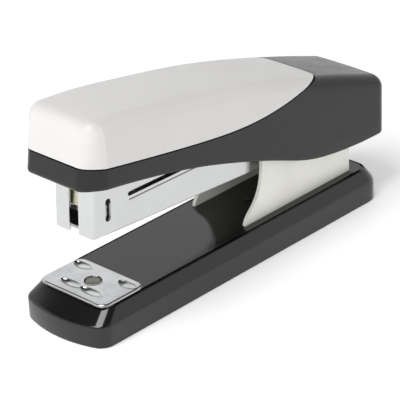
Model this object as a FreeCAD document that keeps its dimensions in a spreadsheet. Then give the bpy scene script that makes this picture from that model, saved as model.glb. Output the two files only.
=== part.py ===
import FreeCAD, Part
import math
import os

from FreeCAD import Placement, Rotation, Vector

doc = FreeCAD.newDocument("Stapler")
sheet = doc.addObject("Spreadsheet::Sheet", "Sizes")

# every independent size, in millimetres
sizes = {
    "overall_length": 149.1,
    "overall_height": 76.5,
    "base_inset": 6.2,
    "base_width": 37.2,
    "base_side_height": 7.5,
    "base_height": 12.2,
    "base_side_slope": 2.45,
    "base_front_slope": 8.6,
    "base_rear_slope": 3.5,
    "base_bow_radius": 45.0,
    "base_corner": 5.0,
    "base_wall": 2.0,
    "sole_thickness": 1.6,
    "seat_plate_thickness": 1.2,
    "anvil_length": 19.3,
    "anvil_width": 30.6,
    "anvil_ahead": 0.75,
    "anvil_thickness": 0.85,
    "anvil_edge": 0.45,
    "anvil_ledge": 0.4,
    "pivot_radius": 2.6,
    "anvil_gap": 0.05,
    "groove_width": 1.8,
    "groove_depth": 0.55,
    "groove_length": 8.0,
    "groove_offset": 5.45,
    "groove_inward": 1.9,
    "groove_outward": 4.0,
    "stem_radius": 1.95,
    "button_radius": 5.5,
    "bracket_gap": 0.6,
    "bracket_sheet": 1.3,
    "bracket_depth": 54.6,
    "rivet_radius": 0.9,
    "pin_to_rear": 23.7,
    "pin_rise": 15.3,
    "pin_radius": 1.8,
    "pin_clearance": 0.06,
    "nose_rise": 7.03,
    "nose_setback": 11.2,
    "case_gap": 0.525,
    "case_wall": 0.8,
    "case_height": 18.5,
    "case_drop": 1.1,
    "nose_slot": 4.2,
    "guide_wall": 0.8,
    "guide_height": 8.9,
    "staple_width": 12.9,
    "staple_gap": 0.25,
    "staple_wire": 0.5,
    "staple_height": 6.5,
    "strip_length": 40.0,
    "rail_wall": 0.8,
    "rail_slot": 3.0,
    "pusher_length": 11.5,
    "pusher_travel": 42.0,
    "rod_radius": 1.0,
    "cover_gap": 2.0,
    "cover_wall": 2.0,
    "cover_edge": 4.6,
    "cover_nose_corner": 5.2,
    "cover_rear_corner": 5.0,
    "cover_ahead": 7.9,
    "inlay_gap": 0.05,
    "channel_gap": 0.575,
    "channel_sheet": 1.1,
    "blade_thickness": 0.6,
    "blade_gap": 0.15,
    "press_drop": 8.76,
}

# widths that follow from the staple's, from the inside out
wall_pairs = [
    ("guide_gap", "staple_width", ["staple_gap"]),
    ("guide_width", "guide_gap", ["guide_wall"]),
    ("case_width", "guide_width", ["case_gap", "case_wall"]),
    ("channel_width", "case_width", ["channel_gap", "channel_sheet"]),
    ("bracket_width", "channel_width", ["bracket_gap", "bracket_sheet"]),
    ("cover_width", "bracket_width", ["cover_gap", "cover_wall"]),
]
for outside, inside, layers in wall_pairs:
    sizes[outside] = round(sizes[inside] + 2 * sum(sizes[layer] for layer in layers), 4)
sizes["blade_width"] = sizes["staple_width"] - 2 * sizes["blade_gap"]
sizes["base_length"] = sizes["overall_length"] - sizes["base_inset"]
for row, (name, value) in enumerate(sizes.items(), start=1):
    sheet.set(f"A{row}", name)
    sheet.set(f"B{row}", str(value))
    sheet.setAlias(f"B{row}", name)
doc.recompute()


def size(name):
    return float(sheet.get(name))


def half(name):
    return size(name) / 2


# places that follow from the sizes
length = size("overall_length")
base_top = size("base_height")
base_front = -length / 2
base_rear = base_front + size("base_length")
pin_x = length / 2 - size("pin_to_rear")
lift = (size("overall_height") - base_top) / 64.3
pin_z = base_top + size("pin_rise") * lift
nose_reach = length - size("pin_to_rear") - size("nose_setback")
case_bottom = -size("case_drop")
case_top = case_bottom + size("case_height")
floor_top = case_bottom + size("case_wall")
inner_nose = -nose_reach + size("case_wall")
tilt = math.asin(size("nose_rise") / nose_reach)
press = math.asin(size("press_drop") / nose_reach)
magazine_place = Placement(
    Vector(pin_x, 0, pin_z), Rotation(Vector(0, 1, 0), math.degrees(tilt))
)


def up(height):
    """A height above the base's top, stretched with the overall height."""
    return base_top + (height - 12.2) * lift


def in_magazine(x, z):
    """A place in the tilted magazine, given in the object's frame."""
    return (
        pin_x + x * math.cos(tilt) + z * math.sin(tilt),
        pin_z - x * math.sin(tilt) + z * math.cos(tilt),
    )


# outlines, as lists of plane curves


def at(point):
    return Vector(point[0], point[1], 0)


def line(start, end):
    return Part.LineSegment(at(start), at(end))


def arc(start, middle, end):
    return Part.Arc(at(start), at(middle), at(end))


def spline(points):
    curve = Part.BSplineCurve()
    curve.interpolate([at(p) for p in points])
    return curve


def polygon(points):
    return [line(p, q) for p, q in zip(points, points[1:] + points[:1])]


def rectangle(left, right, low, high):
    return polygon([(left, low), (right, low), (right, high), (left, high)])


def circle(x, y, radius):
    return [Part.Circle(at((x, y)), Vector(0, 0, 1), radius)]


def obround(start, end, radius):
    """A slot with round ends, its ends centred on two points."""
    along = math.atan2(end[1] - start[1], end[0] - start[0])
    dx, dy = radius * math.cos(along), radius * math.sin(along)
    a, b = (start[0] - dy, start[1] + dx), (start[0] + dy, start[1] - dx)
    c, d = (end[0] + dy, end[1] - dx), (end[0] - dy, end[1] + dx)
    return [
        arc(a, (start[0] - dx, start[1] - dy), b),
        line(b, c),
        arc(c, (end[0] + dx, end[1] + dy), d),
        line(d, a),
    ]


def rounded(points, radii):
    """A polygon whose corners are rounded, each by its own radius."""
    curves, joins = [], []
    count = len(points)
    for i in range(count):
        here = at(points[i])
        before = (at(points[i - 1]) - here).normalize()
        after = (at(points[(i + 1) % count]) - here).normalize()
        if not radii[i]:
            joins.append((here, here))
            continue
        turn = before.getAngle(after) / 2
        back = radii[i] / math.tan(turn)
        middle = (before + after).normalize()
        centre = here + middle * (radii[i] / math.sin(turn))
        first, last = here + before * back, here + after * back
        curves.append(Part.Arc(first, centre - middle * radii[i], last))
        joins.append((first, last))
    for i in range(count):
        curves.append(Part.LineSegment(joins[i][1], joins[(i + 1) % count][0]))
    return curves


# bodies and features


def new_body(name, place=None):
    body = doc.addObject("PartDesign::Body", name)
    body.Label = name
    if place:
        body.Placement = place
    return body


def plane_of(body, role):
    return next(f for f in body.Origin.OriginFeatures if f.Role == role)


def sketch_on(body, role, curves, offset="0"):
    sketch = body.newObject("Sketcher::SketchObject", body.Name + "_sketch")
    sketch.AttachmentSupport = [(plane_of(body, role), "")]
    sketch.MapMode = "FlatFace"
    sketch.setExpression("AttachmentOffset.Base.z", offset)
    for curve in curves:
        sketch.addGeometry(curve, False)
    return sketch


def symmetric(feature):
    if hasattr(feature, "SideType"):
        feature.SideType = "Symmetric"
    else:
        feature.Midplane = True


def pad(body, role, curves, thickness, offset="0", both=True):
    feature = body.newObject("PartDesign::Pad", body.Name + "_pad")
    feature.Profile = sketch_on(body, role, curves, offset)
    feature.setExpression("Length", thickness)
    if both:
        symmetric(feature)
    doc.recompute()
    return feature


def cut(body, role, curves, thickness, offset="0"):
    feature = body.newObject("PartDesign::Pocket", body.Name + "_pocket")
    feature.Profile = sketch_on(body, role, curves, offset)
    feature.setExpression("Length", thickness)
    symmetric(feature)
    doc.recompute()
    return feature


def near(value, wanted, slack=0.02):
    return abs(value - wanted) < slack


def fillet(body, radius, choose):
    """Rounds the edges of the newest feature that the test picks."""
    tip = body.Tip
    names = [f"Edge{i + 1}" for i, e in enumerate(tip.Shape.Edges) if choose(e)]
    feature = body.newObject("PartDesign::Fillet", body.Name + "_fillet")
    feature.Base = (tip, names)
    feature.setExpression("Radius", radius)
    doc.recompute()
    return feature


def round_face(body, radius, face):
    """Rounds every edge round one face of the newest feature."""
    wanted = [e.CenterOfMass for e in face.Edges]
    fillet(body, radius, lambda e: any(e.CenterOfMass.isEqual(c, 1e-4) for c in wanted))


def upright(edge, axis="Z"):
    """True when an edge is straight along an axis."""
    box = edge.BoundBox
    spans = {"X": box.XLength, "Y": box.YLength, "Z": box.ZLength}
    return spans.pop(axis) > 0.05 and max(spans.values()) < 0.02


def of_sheet(text):
    """An expression in which each size name is looked up in the sheet."""
    words = text.split()
    return " ".join("Sizes." + w if w in sizes else w for w in words)


# base: shell, steel seat plate and rubber sole
def base_outline(inset, front, rear, bow_radius, corner):
    """The base in plan: a bowed front, rounded corners and straight sides."""
    side = half("base_width") - inset
    bow_centre = front + bow_radius
    back = math.sqrt((bow_radius - corner) ** 2 - (side - corner) ** 2)
    centre = (bow_centre - back, side - corner)
    turn = math.atan2(side - corner, back)

    def on_corner(angle):
        return centre[0] - corner * math.cos(angle), centre[1] + corner * math.sin(angle)

    def mirrored(point):
        return point[0], -point[1]

    first = on_corner(turn)
    middle = on_corner((turn + math.pi / 2) / 2)
    last = on_corner(math.pi / 2)
    bend = corner * math.sqrt(0.5)
    rear_start = (rear - corner, side)
    rear_middle = (rear - corner + bend, side - corner + bend)
    rear_end = (rear, side - corner)
    return [
        arc(mirrored(first), (front, 0), first),
        arc(first, middle, last),
        line(last, rear_start),
        arc(rear_start, rear_middle, rear_end),
        line(rear_end, mirrored(rear_end)),
        arc(mirrored(rear_end), mirrored(rear_middle), mirrored(rear_start)),
        line(mirrored(rear_start), mirrored(last)),
        arc(mirrored(last), mirrored(middle), mirrored(first)),
    ]


base_shell = new_body("base_shell")
low_outline = base_outline(
    0, base_front, base_rear, size("base_bow_radius"), size("base_corner")
)
top_front = base_front + size("base_front_slope")
top_outline = base_outline(
    size("base_side_slope"), top_front, base_rear - size("base_rear_slope"), 300.0, 4.0
)
pad(base_shell, "XY_Plane", low_outline, of_sheet("base_side_height"), both=False)
lower = sketch_on(base_shell, "XY_Plane", low_outline, of_sheet("base_side_height"))
upper = sketch_on(base_shell, "XY_Plane", top_outline, of_sheet("base_height"))
slope = base_shell.newObject("PartDesign::AdditiveLoft", "base_shell_slope")
slope.Profile = lower
slope.Sections = [upper]
slope.Ruled = True
doc.recompute()
wall = size("base_wall")
hollow = base_outline(
    size("base_side_slope") + wall,
    top_front + wall,
    base_rear - size("base_rear_slope") - wall,
    300.0,
    3.0,
)
cut(
    base_shell,
    "XY_Plane",
    hollow,
    of_sheet("2 * ( base_height - base_wall )"),
)
anvil_x = pin_x - nose_reach + 6.75
cut(
    base_shell,
    "XY_Plane",
    circle(anvil_x, 0, size("stem_radius") + size("pin_clearance")),
    of_sheet("4 * base_height"),
)
rivet_places = [
    (pin_x + x, y) for x, y in ((-32.9, 0.0), (-2.0, -5.0), (-2.0, 5.0))
]
rivet_holes = [
    hole for x, y in rivet_places for hole in circle(x, y, size("rivet_radius") + 0.03)
]
cut(base_shell, "XY_Plane", rivet_holes, of_sheet("4 * base_height"))
bracket_rear = pin_x + 7.0
bracket_front = bracket_rear - size("bracket_depth")
plate_slots = []
for side in (-1, 1):
    edges = [
        side * (half("bracket_width") + 0.04),
        side * (half("bracket_width") - size("bracket_sheet") - 0.04),
    ]
    plate_slots += rectangle(
        bracket_front - 0.06, bracket_rear + 0.06, min(edges), max(edges)
    )
cut(base_shell, "XY_Plane", plate_slots, of_sheet("4 * base_height"))

seat_plate = new_body("seat_plate")
plate_outline = base_outline(
    size("base_side_slope") + wall + 0.3,
    top_front + wall + 0.3,
    base_rear - size("base_rear_slope") - wall - 0.3,
    300.0,
    2.8,
)
seat_middle = (
    "base_height - base_wall - bracket_sheet - 0.04 - seat_plate_thickness / 2"
)
pad(
    seat_plate,
    "XY_Plane",
    plate_outline
    + circle(anvil_x, 0, size("stem_radius") + size("pin_clearance"))
    + rivet_holes,
    of_sheet("seat_plate_thickness"),
    of_sheet(seat_middle),
)

base_sole = new_body("base_sole")
inset = size("base_side_slope") + wall + 0.15
sole_outline = base_outline(
    inset,
    top_front + wall + 0.15,
    base_rear - size("base_rear_slope") - wall - 0.15,
    300.0,
    2.9,
)
pad(
    base_sole,
    "XY_Plane",
    sole_outline + circle(anvil_x, 0, size("button_radius") + 1.2),
    of_sheet("sole_thickness"),
    both=False,
)

# anvil: turning plate, its stem with the push button, and the button's spring
anvil_plate = new_body("anvil_plate")
anvil_low = "base_height + anvil_gap"
ahead, across = half("anvil_length"), half("anvil_width")


def anvil_outline(corner):
    left = anvil_x - ahead - size("anvil_ahead")
    right = anvil_x + ahead - size("anvil_ahead")
    corners = [(left, -across), (right, -across), (right, across), (left, across)]
    return rounded(corners, [corner] * 4)


pad(
    anvil_plate,
    "XY_Plane",
    anvil_outline(3.6),
    of_sheet("anvil_thickness"),
    of_sheet(anvil_low),
    both=False,
)
round_face(
    anvil_plate,
    of_sheet("anvil_edge"),
    max(anvil_plate.Tip.Shape.Faces, key=lambda f: f.CenterOfMass.z),
)
cut(
    anvil_plate,
    "XY_Plane",
    circle(anvil_x, 0, size("pivot_radius") + 0.15),
    of_sheet("2 * ( anvil_thickness - anvil_ledge )"),
    of_sheet(anvil_low + " + anvil_thickness"),
)
cut(
    anvil_plate,
    "XY_Plane",
    circle(anvil_x, 0, size("stem_radius") + size("pin_clearance")),
    of_sheet("4 * anvil_thickness"),
    of_sheet(anvil_low),
)
anvil_face = base_top + size("anvil_gap") + size("anvil_thickness")
chord = size("groove_length") / 2
scoop = (chord ** 2 + size("groove_depth") ** 2) / (2 * size("groove_depth"))
for offset, centre in (
    (-size("groove_offset"), half("staple_width") - size("groove_inward")),
    (size("groove_offset"), half("staple_width") + size("groove_outward")),
):
    for side in (-1, 1):
        cut(
            anvil_plate,
            "YZ_Plane",
            circle(side * centre, anvil_face - size("groove_depth") + scoop, scoop),
            of_sheet("groove_width"),
            str(anvil_x + offset),
        )

anvil_stem = new_body("anvil_stem")
button_low, button_high = 0.9, 4.4
head_low = base_top + size("anvil_gap") + size("anvil_ledge") + 0.03
stem_profile = polygon(
    [
        (0, button_low),
        (size("button_radius"), button_low),
        (size("button_radius"), button_high),
        (size("stem_radius"), button_high),
        (size("stem_radius"), head_low),
        (size("pivot_radius"), head_low),
        (size("pivot_radius"), head_low + 0.2),
        (size("stem_radius"), head_low + 0.3),
        (0, head_low + 0.35),
    ]
)
stem_turn = anvil_stem.newObject("PartDesign::Revolution", "anvil_stem_turn")
stem_turn.Profile = sketch_on(anvil_stem, "XZ_Plane", stem_profile)
stem_turn.ReferenceAxis = (plane_of(anvil_stem, "Z_Axis"), [""])
stem_turn.Angle = 360
anvil_stem.Placement = Placement(Vector(anvil_x, 0, 0), Rotation())
doc.recompute()


def coil(name, pitch, height, radius, wire, place):
    """A round wire wound round a line, placed where it works."""
    path = doc.addObject("Part::Helix", name + "_path")
    path.Pitch = pitch
    path.Height = height
    path.Radius = radius
    ring = doc.addObject("Part::Circle", name + "_wire")
    ring.Radius = wire
    ring.Placement = Placement(Vector(radius, 0, 0), Rotation(Vector(1, 0, 0), 90))
    sweep = doc.addObject("Part::Sweep", name)
    sweep.Sections = [ring]
    sweep.Spine = (path, ["Edge1"])
    sweep.Solid = True
    sweep.Frenet = True
    sweep.Label = name
    sweep.Placement = place
    doc.recompute()
    return sweep


seat_low = base_top - size("base_wall") - size("bracket_sheet") - 0.04
seat_low -= size("seat_plate_thickness")
spring_room = seat_low - button_high
anvil_spring = coil(
    "anvil_spring",
    1.45,
    spring_room - 0.8,
    3.2,
    0.3,
    Placement(Vector(anvil_x, 0, button_high + 0.4), Rotation()),
)

# riser bracket: a folded steel floor and two side plates
riser_bracket = new_body("riser_bracket")
floor_high = base_top - size("base_wall") - 0.02
floor_low = floor_high - size("bracket_sheet")
plate_curves = [
    line((bracket_front, base_top), (bracket_front + 3.0, floor_low)),
    line((bracket_front + 3.0, floor_low), (bracket_rear, floor_low)),
    line((bracket_rear, floor_low), (bracket_rear, pin_z + 10.0)),
    arc(
        (bracket_rear, pin_z + 10.0),
        (pin_x + 4.9, pin_z + 14.6),
        (pin_x, pin_z + 16.0),
    ),
    line((pin_x, pin_z + 16.0), (bracket_front + 18.0, pin_z + 12.0)),
    line((bracket_front + 18.0, pin_z + 12.0), (bracket_front + 9.3, up(34.2))),
    spline(
        [
            (bracket_front + 9.3, up(34.2)),
            (bracket_front + 9.1, up(28.2)),
            (bracket_front + 7.7, up(23.0)),
            (bracket_front + 4.6, up(18.2)),
            (bracket_front + 0.9, up(14.3)),
            (bracket_front, base_top),
        ]
    ),
]
pad(riser_bracket, "XZ_Plane", plate_curves, of_sheet("bracket_width"))
cut(
    riser_bracket,
    "YZ_Plane",
    rectangle(
        size("bracket_sheet") - half("bracket_width"),
        half("bracket_width") - size("bracket_sheet"),
        floor_high,
        pin_z + 40,
    ),
    of_sheet("4 * overall_length"),
)
cut(
    riser_bracket,
    "XZ_Plane",
    circle(pin_x, pin_z, size("pin_radius") + 0.02),
    of_sheet("2 * bracket_width"),
)
cut(riser_bracket, "XY_Plane", rivet_holes, of_sheet("4 * base_height"))

rivets = []
head_rise = base_top
for x, y in rivet_places:
    rivet = new_body("rivet")
    profile = polygon(
        [
            (0, seat_low - 0.9),
            (1.8, seat_low - 0.9),
            (2.0, seat_low - 0.02),
            (size("rivet_radius"), seat_low - 0.02),
            (size("rivet_radius"), head_rise + 0.02),
            (size("rivet_radius") + 0.6, head_rise + 0.02),
            (size("rivet_radius") + 0.3, head_rise + 0.35),
            (0, head_rise + 0.5),
        ]
    )
    turn = rivet.newObject("PartDesign::Revolution", "rivet_turn")
    turn.Profile = sketch_on(rivet, "XZ_Plane", profile)
    turn.ReferenceAxis = (plane_of(rivet, "Z_Axis"), [""])
    turn.Angle = 360
    rivet.Placement = Placement(Vector(x, y, 0), Rotation())
    rivets.append(rivet)
rivet_group = doc.addObject("Part::Compound", "bracket_rivets")
rivet_group.Links = rivets
rivet_group.Label = "bracket_rivets"
doc.recompute()

hinge_pin = new_body("hinge_pin", Placement(Vector(pin_x, 0, pin_z), Rotation()))
reach = half("bracket_width")
pin_profile = polygon(
    [
        (0, -reach - 1.1),
        (2.6, -reach - 1.1),
        (3.0, -reach - 0.7),
        (3.0, -reach - 0.02),
        (size("pin_radius"), -reach - 0.02),
        (size("pin_radius"), reach + 0.02),
        (3.0, reach + 0.02),
        (3.0, reach + 0.7),
        (2.6, reach + 1.1),
        (0, reach + 1.1),
    ]
)
pin_turn = hinge_pin.newObject("PartDesign::Revolution", "hinge_pin_turn")
pin_turn.Profile = sketch_on(hinge_pin, "XY_Plane", pin_profile)
pin_turn.ReferenceAxis = (plane_of(hinge_pin, "Y_Axis"), [""])
pin_turn.Angle = 360
doc.recompute()

# magazine: case, staple guide, rail, rear block, rod and the staples
magazine_case = new_body("magazine_case", magazine_place)
case_rear = 6.5
ear = 4.6
case_side = [
    line((-nose_reach, case_bottom), (-nose_reach, case_top)),
    line((-nose_reach, case_top), (case_rear - 3.0, case_top)),
    arc(
        (case_rear - 3.0, case_top),
        (case_rear - 0.88, case_top - 0.88),
        (case_rear, case_top - 3.0),
    ),
    line((case_rear, case_top - 3.0), (case_rear, 0)),
    arc((case_rear, 0), (case_rear * 0.707, -ear), (0, -ear - 1.0)),
    line((0, -ear - 1.0), (-6.0, -ear - 1.0)),
    line((-6.0, -ear - 1.0), (-12.0, case_bottom)),
    line((-12.0, case_bottom), (-nose_reach, case_bottom)),
]
pad(magazine_case, "XZ_Plane", case_side, of_sheet("case_width"))
fillet(
    magazine_case,
    "1.2 mm",
    lambda e: upright(e) and near(e.BoundBox.XMin, -nose_reach, 0.1),
)
inner = half("case_width") - size("case_wall")
cut(
    magazine_case,
    "YZ_Plane",
    rectangle(-inner, inner, floor_top, case_top + 10),
    str(2 * (nose_reach - size("case_wall"))),
)
cut(
    magazine_case,
    "XY_Plane",
    rectangle(-12.5, 20, -inner, inner),
    "60 mm",
)
mouth_rear = inner_nose + 1.5
cut(
    magazine_case,
    "XY_Plane",
    rectangle(inner_nose, mouth_rear, -inner, inner),
    "10 mm",
)
cut(
    magazine_case,
    "YZ_Plane",
    rectangle(-half("nose_slot"), half("nose_slot"), -10, case_top + 5),
    "3 mm",
    str(-nose_reach),
)
window_x = -nose_reach + 6.7
cut(
    magazine_case,
    "XZ_Plane",
    obround((window_x, 4.5), (window_x, 10.1), 1.15),
    of_sheet("2 * case_width"),
)
slot_start = -nose_reach + 16.4
cut(
    magazine_case,
    "XZ_Plane",
    obround((slot_start, 9.9), (slot_start + 58, 12.4), 0.75),
    of_sheet("2 * case_width"),
)
cut(
    magazine_case,
    "XZ_Plane",
    circle(0, 0, size("pin_radius") + size("pin_clearance")),
    of_sheet("2 * case_width"),
)

guide_channel = new_body("guide_channel", magazine_place)
guide_front = inner_nose + 0.1
guide_rear = -15.0
guide_top = floor_top + size("guide_height")
pad(
    guide_channel,
    "XZ_Plane",
    rectangle(guide_front, guide_rear, floor_top + 0.02, guide_top),
    of_sheet("guide_width"),
)
cut(
    guide_channel,
    "YZ_Plane",
    rectangle(-half("guide_gap"), half("guide_gap"), floor_top + 0.6, guide_top + 5),
    of_sheet("4 * overall_length"),
)
cut(
    guide_channel,
    "XY_Plane",
    rectangle(guide_front - 5, mouth_rear, -half("guide_gap"), half("guide_gap")),
    "10 mm",
)

staple_rail = new_body("staple_rail", magazine_place)
rail_half = half("staple_width") - size("staple_wire") - 0.1
rail_low = floor_top + 0.62
rail_top = floor_top + 0.9 + size("staple_height") - size("staple_wire") - 0.05
rail_front = mouth_rear
rail_rear = -13.0
pad(
    staple_rail,
    "XZ_Plane",
    rectangle(rail_front, rail_rear, rail_low, rail_top),
    str(2 * rail_half),
)
cut(
    staple_rail,
    "YZ_Plane",
    rectangle(
        size("rail_wall") - rail_half,
        rail_half - size("rail_wall"),
        rail_low - 5,
        rail_top - size("rail_wall"),
    ),
    of_sheet("4 * overall_length"),
)
strip_front = rail_front
strip_rear = strip_front + size("strip_length")
cut(
    staple_rail,
    "XY_Plane",
    rectangle(
        strip_rear - 6,
        strip_rear + size("pusher_length") + size("pusher_travel") + 1,
        -half("rail_slot"),
        half("rail_slot"),
    ),
    "40 mm",
)

staple_strip = new_body("staple_strip", magazine_place)
staple_low = floor_top + 0.9
staple_top = staple_low + size("staple_height")
leg = half("staple_width")
wire = size("staple_wire")
pad(
    staple_strip,
    "YZ_Plane",
    rounded(
        [
            (-leg, staple_low),
            (wire - leg, staple_low),
            (wire - leg, staple_top - wire),
            (leg - wire, staple_top - wire),
            (leg - wire, staple_low),
            (leg, staple_low),
            (leg, staple_top),
            (-leg, staple_top),
        ],
        [0, 0, 0, 0, 0, 0, 0.45, 0.45],
    ),
    of_sheet("strip_length"),
    str(strip_front + 0.02 + half("strip_length")),
)

staple_pusher = new_body("staple_pusher", magazine_place)
pusher_front = strip_rear + 0.06
pusher_rear = pusher_front + size("pusher_length")
pusher_middle = str((pusher_front + pusher_rear) / 2)
pusher_low = rail_low + 0.4
tongue_low = rail_low + 0.7
pad(
    staple_pusher,
    "YZ_Plane",
    polygon(
        [
            (-leg, pusher_low),
            (0.1 - rail_half - 0.18, pusher_low),
            (0.1 - rail_half - 0.18, rail_top + 0.08),
            (-1.3, rail_top + 0.08),
            (-1.3, rail_top - size("rail_wall") - 0.15),
            (-4.2, rail_top - size("rail_wall") - 0.15),
            (-4.2, tongue_low),
            (4.2, tongue_low),
            (4.2, rail_top - size("rail_wall") - 0.15),
            (1.3, rail_top - size("rail_wall") - 0.15),
            (1.3, rail_top + 0.08),
            (rail_half + 0.08, rail_top + 0.08),
            (rail_half + 0.08, pusher_low),
            (leg, pusher_low),
            (leg, staple_top + 0.7),
            (-leg, staple_top + 0.7),
        ]
    ),
    of_sheet("pusher_length"),
    pusher_middle,
)
rod_z = (tongue_low + rail_top - size("rail_wall") - 0.15) / 2
cut(
    staple_pusher,
    "YZ_Plane",
    circle(0, rod_z, size("rod_radius") + 0.08),
    of_sheet("4 * overall_length"),
)

block_front, block_rear = -12.6, -4.6
rear_block = new_body("rear_block", magazine_place)
pad(
    rear_block,
    "XZ_Plane",
    rectangle(block_front, block_rear, floor_top + 0.02, 8.2),
    str(2 * inner - 0.1),
)
cut(
    rear_block,
    "YZ_Plane",
    circle(0, rod_z, size("rod_radius") + 0.02),
    of_sheet("4 * overall_length"),
)

pusher_rod = new_body("pusher_rod", magazine_place)
rod_front = pusher_front - 5.0
rod_rear = block_rear + 0.8
pad(
    pusher_rod,
    "YZ_Plane",
    circle(0, rod_z, size("rod_radius")),
    str(rod_rear - rod_front),
    str((rod_front + rod_rear) / 2),
)

spring_length = block_front - pusher_rear - 0.3
spring_turns = 26
pusher_spring = coil(
    "pusher_spring",
    (spring_length - 0.8) / spring_turns,
    spring_length - 0.8,
    1.75,
    0.3,
    magazine_place.multiply(
        Placement(
            Vector(pusher_rear + 0.55, 0, rod_z), Rotation(Vector(0, 1, 0), 90)
        )
    ),
)

# leaf spring that lifts the magazine off the base
lift_spring = new_body("lift_spring")
sheet_metal = 0.5
leaf_x = bracket_front + 22.0
under_x, under_z = in_magazine(leaf_x - pin_x, case_bottom)
leaf_low = base_top + 0.03
leaf_end = under_z - sheet_metal - 0.12


def strip_along(points, thick):
    """A bent strip of even thickness along a chain of points."""
    upper, under = [], []
    count = len(points)
    for i, (x, z) in enumerate(points):
        before = points[max(i - 1, 0)]
        after = points[min(i + 1, count - 1)]
        dx, dz = after[0] - before[0], after[1] - before[1]
        far = math.hypot(dx, dz)
        upper.append((x - dz / far * thick / 2, z + dx / far * thick / 2))
        under.append((x + dz / far * thick / 2, z - dx / far * thick / 2))
    return polygon(upper + under[::-1])


pad(
    lift_spring,
    "XZ_Plane",
    strip_along(
        [
            (pin_x - 6.0, leaf_low + sheet_metal / 2),
            (pin_x - 18.0, leaf_low + sheet_metal / 2),
            (pin_x - 22.0, leaf_low + 1.0),
            (leaf_x + 3.0, leaf_end - 1.1),
            (leaf_x + 1.0, leaf_end - 0.2),
            (leaf_x - 1.5, leaf_end - 0.1),
            (leaf_x - 4.0, leaf_end - 1.0),
        ],
        sheet_metal,
    ),
    "7 mm",
)

# handle: cover, inlay, steel channel, driver blade and their fixings
cover_front = pin_x - nose_reach - size("cover_ahead")
cover_rear = length / 2
stretch = (cover_rear - cover_front) / 145.6


def on_cover(points, inset=0.0):
    """Points given from the cover's nose, stretched with the object."""
    return [(cover_front + s * stretch, up(z) - inset) for s, z in points]


top_line = [
    (4.7, 76.5),
    (18.9, 75.4),
    (45.5, 71.3),
    (73.4, 65.8),
    (102.8, 57.9),
    (123.3, 51.5),
    (145.6, 43.9),
]
bottom_line = [
    (144.4, 22.9),
    (135.8, 22.9),
    (124.8, 23.7),
    (114.1, 24.9),
    (103.6, 27.1),
    (88.3, 32.7),
    (68.6, 39.6),
    (49.7, 45.1),
    (27.0, 50.1),
    (7.7, 53.1),
    (0.0, 54.1),
]


def cover_profile():
    top = on_cover(top_line)
    bottom = on_cover(bottom_line)
    return [
        spline(top),
        line(top[-1], bottom[0]),
        spline(bottom),
        line(bottom[-1], top[0]),
    ]


def cover_hollow():
    """The room inside the cover, open downwards."""
    wall = size("cover_wall")
    top = on_cover(top_line, wall)
    top[0] = (top[0][0] + wall, top[0][1])
    top[-1] = (top[-1][0] - wall, top[-1][1])
    low = on_cover([bottom_line[0]])[0]
    rear_lean = (cover_rear - low[0]) / (up(top_line[-1][1]) - low[1])
    rear = (low[0] - wall - rear_lean * low[1], 0)
    front = on_cover([bottom_line[-1]])[0]
    front = (front[0] + wall - 0.209 * front[1], 0)
    return [
        spline(top),
        line(top[-1], rear),
        line(rear, front),
        line(front, top[0]),
    ]


def cover_block(name, hollow=True):
    body = new_body(name)
    pad(body, "XZ_Plane", cover_profile(), of_sheet("cover_width"))
    side = half("cover_width")

    def nose_corner(edge):
        box = edge.BoundBox
        flat = box.YLength < 0.02 and near(abs(box.YMin), side)
        return flat and box.ZLength > 15 and box.XMax < cover_front + 20

    def rear_corner(edge):
        box = edge.BoundBox
        flat = box.YLength < 0.02 and near(abs(box.YMin), side)
        return flat and box.ZLength > 15 and box.XMin > cover_rear - 5

    fillet(body, of_sheet("cover_nose_corner"), nose_corner)
    fillet(body, of_sheet("cover_rear_corner"), rear_corner)
    top_face = max(body.Tip.Shape.Faces, key=lambda f: f.CenterOfMass.z + f.BoundBox.XLength)
    round_face(body, of_sheet("cover_edge"), top_face)
    if hollow:
        room = of_sheet("cover_width - 2 * cover_wall")
        cut(body, "XZ_Plane", cover_hollow(), room)
    return body


divide = [
    (-6.0, 62.1),
    (5.8, 61.0),
    (23.1, 57.7),
    (41.0, 54.9),
    (59.6, 52.3),
    (74.1, 51.1),
    (89.0, 51.7),
    (99.3, 53.4),
    (104.4, 55.0),
    (107.2, 57.2),
    (108.6, 60.5),
]


def inlay_region(name, gap):
    """Everything over the line where the pale inlay starts."""
    body = new_body(name)
    inlay_end = screw_places[1] + 6.6
    share = (inlay_end - cover_front) / divide[-1][0]
    edge = [(cover_front + s * share - gap, up(z) + gap) for s, z in divide]
    high = up(90)
    curves = [
        spline(edge),
        line(edge[-1], (edge[-1][0], high)),
        line((edge[-1][0], high), (edge[0][0], high)),
        line((edge[0][0], high), edge[0]),
    ]
    pad(body, "XZ_Plane", curves, of_sheet("2 * cover_width"))
    return body


# steel channel under the cover, hinged on the pin
handle_channel = new_body("handle_channel", magazine_place)
channel_half = half("channel_width")
channel_sheet = size("channel_sheet")
front_high = case_top + 9.6 + channel_sheet
rear_high = case_top + 1.3 + channel_sheet
channel_front = -nose_reach - 0.2
arm = 5.2
channel_side = [
    line((channel_front, front_high), (-4.0, rear_high)),
    arc((-4.0, rear_high), (0.5, rear_high - 1.2), (3.2, rear_high - 5.0)),
    line((3.2, rear_high - 5.0), (arm, 0)),
    arc((arm, 0), (0, -arm), (-arm, 0)),
    line((-arm, 0), (-32.0, 13.0)),
    line((-32.0, 13.0), (channel_front, case_top + 3.0)),
    line((channel_front, case_top + 3.0), (channel_front, front_high)),
]
pad(handle_channel, "XZ_Plane", channel_side, of_sheet("channel_width"))
fall = (front_high - rear_high) / (-4.0 - channel_front)


def under_top(x):
    return front_high - channel_sheet - (x - channel_front) * fall


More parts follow.
